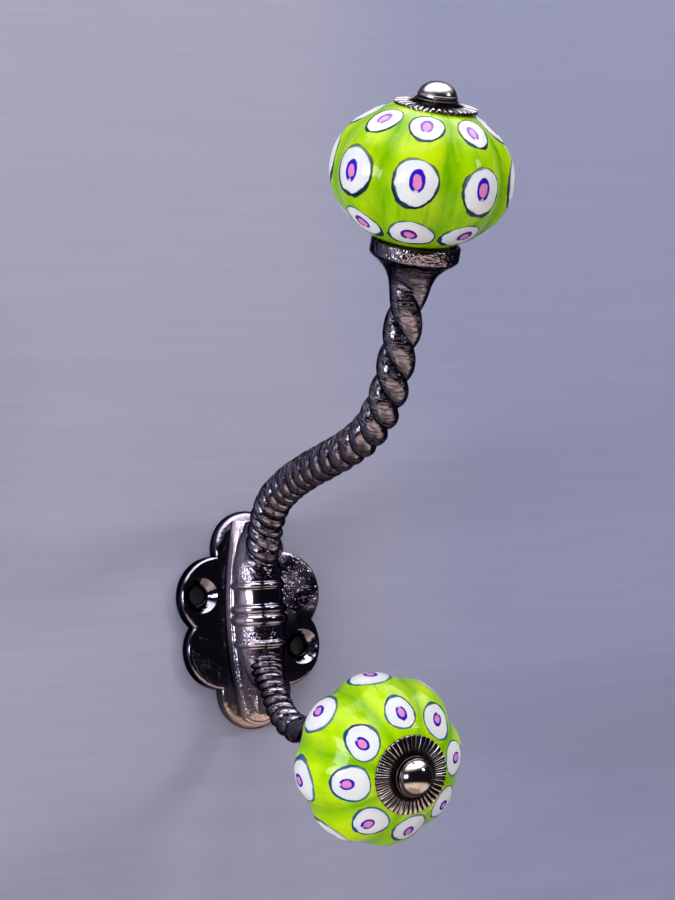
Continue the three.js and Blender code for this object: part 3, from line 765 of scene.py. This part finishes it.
def build_washer(hook):
    """A dished washer. Its rim is pressed into radial flutes that deepen outwards."""
    flutes, per_flute = 42, 10
    columns = flutes * per_flute
    angle = np.linspace(0, 2 * np.pi, columns, endpoint=False)
    rng = np.random.default_rng(5 if hook == "upper" else 6)
    phase = (angle / (2 * np.pi) * flutes) % 1
    number = np.floor(angle / (2 * np.pi) * flutes).astype(int)
    swing = rng.uniform(0.75, 1.1, flutes)[number]
    ridge = np.clip(1.35 * np.sin(np.pi * phase), 0, 1) ** 0.8 * swing
    radii = np.concatenate([np.linspace(2.35, 4.9, 8), np.linspace(5.0, 8.7, 18), [8.85, 8.9]])
    dish = np.interp(radii, [2.3, 4.9, 5.3, 7.5, 8.9], [15.6, 15.6, 15.5, 15.2, 14.9])
    lift = np.interp(radii, [5.0, 5.6, 8.2, 8.9], [0, 0.22, 0.55, 0.50])
    rings, crevice_shade = [], []
    for r, z, rise in zip(radii, dish, lift):
        height = z if r < 5.0 else z - 0.35 + rise * (ridge - 0.15)
        rings.append(np.stack([r * np.cos(angle), r * np.sin(angle), np.full(columns, height)], axis=-1))
        # painted shade: dark in the gaps between flutes and in towards the dome
        dark = 1 - smoothstep(ridge, 0.55, 0.95) * smoothstep(r, 5.6, 6.4)
        crevice_shade.append(dark)
    rim = 8.9 + 0.06 * ridge
    # painted shade, partly dark, on the rim's edge
    for drop in (0.12, 0.3):
        rings.append(np.stack([rim * np.cos(angle), rim * np.sin(angle), rings[-1][:, 2] - drop], axis=-1))
        crevice_shade.append(np.full(columns, 0.3))
    # painted shade on the underside
    for r, z in ((8.6, 14.5), (4.6, 14.9), (2.35, 14.9)):
        rings.append(np.stack([r * np.cos(angle), r * np.sin(angle), np.full(columns, z)], axis=-1))
        crevice_shade.append(np.full(columns, 0.6))
    washer = ring_object(f"{hook}_fluted_washer_plated", rings, False, False, matrix=axis_matrix(hook), sharp=60)
    attribute(washer, "crevice_shade", np.array(crevice_shade))
    return washer


def build_turned(name, hook, profile, dark, segments=96, fillet=0.12):
    """A small turned piece on the stud. dark gives how much painted shade darkens the plating at a radius and
    height.
    """
    rings = turned_rings(finer(rounded(profile, fillet), 0.25), segments)
    made = ring_object(name, rings, False, False, matrix=axis_matrix(hook), sharp=50)
    attribute(made, "crevice_shade", dark(np.hypot(rings[..., 0], rings[..., 1]), rings[..., 2]))
    return made


def build_collar(hook):
    # painted shade: the whole collar, under the dome, is darkened
    return build_turned(f"{hook}_collar_plated", hook,
                        [(2.35, 15.9), (4.65, 15.9), (4.7, 16.0), (4.65, 16.2), (4.4, 16.3), (4.2, 16.28),
                         (2.35, 16.3)],
                        lambda r, z: np.full(r.shape, 0.9))


def build_dome(hook):
    """A cap nut: a lip round the foot, a fine step above it darkened with painted shade, and a full dome."""
    base, height = 16.6, 3.3
    step = base + 0.62
    profile = [(2.35, base), (4.3, base), (4.35, base + 0.12), (4.3, step - 0.1), (4.12, step)]
    for a in np.linspace(math.radians(11), math.radians(89.5), 30):
        profile.append((4.2 * math.cos(a), base + height * math.sin(a) ** 0.96))
    return build_turned(f"{hook}_dome_nut_plated", hook, profile,
                        lambda r, z: np.clip(1 - np.abs(z - step) / 0.16, 0, 1) * 0.9, fillet=0.05)


# ------------------------------------------------------------------ the object


def finish_piece(piece, material, body, slot, *nodes):
    piece.data.materials.clear()
    piece.data.materials.append(material)
    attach(piece, body)
    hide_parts(*nodes)


finish_piece(build_backplate(), CASTING, "wall_bracket", "casting", "backplate")
for piece in (build_boss(), build_pad(), build_arm("upper"), build_arm("lower")):
    finish_piece(piece, CASTING, "wall_bracket", "casting", "arm_casting")
for seed, hook in enumerate(HOOKS):
    glaze = painted_glaze(hook, 3 + 7 * seed, DOT_ROWS[hook], DOT_SHIFT[hook], GLAZE_PAINTED_SHADE[hook],
                          GLAZE_STREAKS[hook])
    finish_piece(build_knob(hook), glaze, f"{hook}_knob_body", "glaze", f"{hook}_knob")
    finish_piece(build_washer(hook), FLUTES, "wall_bracket", "plating", f"{hook}_fluted_washer")
    finish_piece(build_collar(hook), DOMES[hook], "wall_bracket", "plating", f"{hook}_collar")
    finish_piece(build_dome(hook), DOMES[hook], "wall_bracket", "plating", f"{hook}_dome_nut")

for name, material in [("top_fixing_screw", STEEL), ("bottom_fixing_screw", STEEL), ("upper_stud", STEEL),
                       ("lower_stud", STEEL), ("upper_cushion", RUBBER), ("lower_cushion", RUBBER)]:
    node = frame["nodes"][name]
    node.data.materials.clear()
    node.data.materials.append(material)

# ------------------------------------------------------------------ wall, floor and light


def painted_wall():
    """Pale lavender-grey paint with faint brush strokes; painted light and shade make it lighter to the left and
    bluer and darker to the right. Clear from behind.
    """
    n = Nodes("wall_paint")
    where = n.place()
    strokes = n.noise(n.stretched(where, 0.020, 1.0, 0.42), 1.0, 4.0, 0.62)
    patches = n.noise(where, 0.008, 2.0, 0.5)
    across = n.new("ShaderNodeSeparateXYZ", {0: where}).outputs[0]
    left = n.mix(n.span(strokes, 0.3, 0.7), srgb(121, 121, 141), srgb(124, 124, 144))
    right = n.mix(n.span(strokes, 0.3, 0.7), srgb(107, 111, 137), srgb(110, 114, 140))
    # painted light and shade: lighter on the left, darker and bluer on the right
    colour = n.mix(n.span(n.add(across, n.math("MULTIPLY_ADD", patches, 60, -30)), 15, 75), left, right)
    n.shader.inputs["Specular IOR Level"].default_value = 0.3
    n.set(Base_Color=colour, Roughness=n.span(strokes, 0.2, 0.8, 0.55, 0.7), Normal=n.bump(strokes, 0.06))
    behind = n.new("ShaderNodeNewGeometry").outputs["Backfacing"]
    clear = n.new("ShaderNodeMixShader", {0: behind, 1: n.shader.outputs[0],
                                          2: n.new("ShaderNodeBsdfTransparent").outputs[0]})
    out = next(node for node in n.tree.nodes if node.type == "OUTPUT_MATERIAL")
    n.tree.links.new(clear.outputs[0], out.inputs["Surface"])
    return n.material


def pale_floor():
    n = Nodes("floor")
    grain = n.noise(n.place(), 0.02, 3.0, 0.5)
    return n.set(Base_Color=n.mix(grain, (0.62, 0.58, 0.57), (0.68, 0.64, 0.63)), Roughness=0.8)


# painted shade: near-black discs that show the screw holes dark inside
def painted_hole_shade():
    n = Nodes("hole_shade")
    colour = n.mix(n.noise(n.place(), 0.8), (0.004, 0.004, 0.006), (0.012, 0.011, 0.014))
    return n.set(Base_Color=colour, Roughness=0.9)


def plane(name, corners, material):
    made = make_object(name, np.array(corners) / MM, [(0, 1, 2, 3)], sharp=None)
    made.data.materials.append(material)
    return made


FLOOR_Z = cad_box[0].z - 0.55
WALL_TOP, WALL_HALF_WIDTH = 0.32, 3.0
WALL_Y, WALL_OVERLAP = 0.6, 2.0  # in millimetres: just behind the plate, and covered by its edge


def build_wall():
    """The wall, left open where the plate covers it, so that the plate's back shows from behind."""
    right, top, floor_z = WALL_HALF_WIDTH / MM, WALL_TOP / MM, FLOOR_Z / MM
    corners = [math.atan2(z, x) % (2 * math.pi) for x in (-right, right) for z in (floor_z, top)]
    angle = np.sort(np.append(np.linspace(0, 2 * np.pi, 180, endpoint=False), corners))
    ray = np.stack([np.cos(angle), np.sin(angle)], axis=-1)
    limit = np.stack([np.full(len(angle), right), np.where(ray[:, 1] > 0, top, -floor_z)], axis=-1)
    far = ray * np.min(limit / np.maximum(np.abs(ray), 1e-9), axis=1)[:, None]
    near = ray * (outline_radius(angle) - WALL_OVERLAP)[:, None]
    flat = np.vstack([near, far])
    points = np.stack([flat[:, 0], np.full(len(flat), WALL_Y), flat[:, 1]], axis=-1)
    count = len(angle)
    faces = [(i, (i + 1) % count, count + (i + 1) % count, count + i) for i in range(count)]
    made = make_object("wall", points, [face[::-1] for face in faces], sharp=None)
    made.data.materials.append(painted_wall())


build_wall()
floor = plane("floor", [(-4, -5, FLOOR_Z), (4, -5, FLOOR_Z), (4, 5, FLOOR_Z), (-4, 5, FLOOR_Z)], pale_floor())
floor.visible_glossy = False
HOLE_RADIUS, HOLE_Y, HOLE_SIDES = 2.6, 0.3, 32  # dark discs between the plate's back and the wall
# painted shade inside each screw hole
for x, z in WALL_HOLES:
    ring = [(HOLE_RADIUS * math.cos(a) + x, HOLE_Y, HOLE_RADIUS * math.sin(a) + z)
            for a in np.linspace(0, 2 * math.pi, HOLE_SIDES, False)]
    hole = make_object("screw_hole_shade", np.array(ring), [tuple(range(HOLE_SIDES))], sharp=None)
    hole.data.materials.append(painted_hole_shade())


def soft_light(name, azimuth, elevation, distance, width, height, power, colour=(1, 1, 1)):
    """A softbox that faces the hook. Azimuth 0 is straight out from the wall, and elevation is above level."""
    a, e = math.radians(azimuth), math.radians(elevation)
    towards = Vector((math.sin(a) * math.cos(e), -math.cos(a) * math.cos(e), math.sin(e)))
    data = bpy.data.lights.new(name, "AREA")
    data.shape, data.size, data.size_y = "RECTANGLE", width, height
    data.energy, data.color = power, colour
    made = bpy.data.objects.new(name, data)
    made.location = Vector((0, -0.05, 0.03)) + towards * distance
    made.rotation_mode = "QUATERNION"
    made.rotation_quaternion = towards.to_track_quat("Z", "Y")
    bpy.context.scene.collection.objects.link(made)
    return made


soft_light("window_left", -68, 1, 1.0, 0.42, 0.26, 9.0)
glare = soft_light("window_left_glare", -68, 1, 1.0, 0.42, 0.26, 20.0)
glare.visible_diffuse = False  # it only adds to the window's reflections
soft_light("window_right", 38, 20, 1.0, 0.16, 0.16, 3.2)
soft_light("ceiling", 5, 66, 1.0, 0.6, 0.5, 8.5, (1.0, 0.97, 0.95))


def sky(tree, stops):
    """A background whose colour depends on how high the ray points: stops are (height from 0 to 1, colour)."""
    new, link = tree.nodes.new, tree.links.new
    split = new("ShaderNodeSeparateXYZ")
    link(new("ShaderNodeTexCoord").outputs["Generated"], split.inputs[0])
    half = new("ShaderNodeMath")
    half.operation = "MULTIPLY_ADD"
    half.inputs[1].default_value, half.inputs[2].default_value = 0.5, 0.5
    link(split.outputs[2], half.inputs[0])
    ramp = new("ShaderNodeValToRGB")
    link(half.outputs[0], ramp.inputs[0])
    elements = ramp.color_ramp.elements
    while len(elements) < len(stops):
        elements.new(0.5)
    for element, (position, colour) in zip(elements, stops):
        element.position, element.color = position, (*colour, 1)
    background = new("ShaderNodeBackground")
    link(ramp.outputs[0], background.inputs[0])
    return background.outputs[0]


def studio_world():
    """Soft light all round. In reflections it is a bright ceiling, a dark room and a warm floor."""
    world = bpy.data.worlds.new("studio")
    bpy.context.scene.world = world
    world.use_nodes = True
    tree = world.node_tree
    tree.nodes.clear()
    new, link = tree.nodes.new, tree.links.new
    dark, warm, bright, low = (0.05, 0.04, 0.06), (5.4, 4.1, 2.95), (14.0, 13.5, 12.3), (2.3, 1.8, 1.5)
    room = sky(tree, [(0.0, low), (0.04, low), (0.09, warm), (0.20, warm), (0.27, dark), (0.72, dark),
                      (0.80, (2.1, 2.0, 1.85)), (0.86, bright), (1.0, bright)])
    fill = sky(tree, [(0.0, (0.42, 0.36, 0.34)), (0.5, (0.42, 0.42, 0.45)), (1.0, (0.75, 0.73, 0.74))])
    shown = new("ShaderNodeBackground")
    shown.inputs[0].default_value = (0.60, 0.60, 0.66, 1)
    path = new("ShaderNodeLightPath")
    reflected, seen = new("ShaderNodeMixShader"), new("ShaderNodeMixShader")
    link(path.outputs["Is Glossy Ray"], reflected.inputs[0])
    link(fill, reflected.inputs[1])
    link(room, reflected.inputs[2])
    link(path.outputs["Is Camera Ray"], seen.inputs[0])
    link(reflected.outputs[0], seen.inputs[1])
    link(shown.outputs[0], seen.inputs[2])
    link(seen.outputs[0], new("ShaderNodeOutputWorld").inputs[0])


studio_world()
bpy.context.scene.view_settings.view_transform = "Standard"
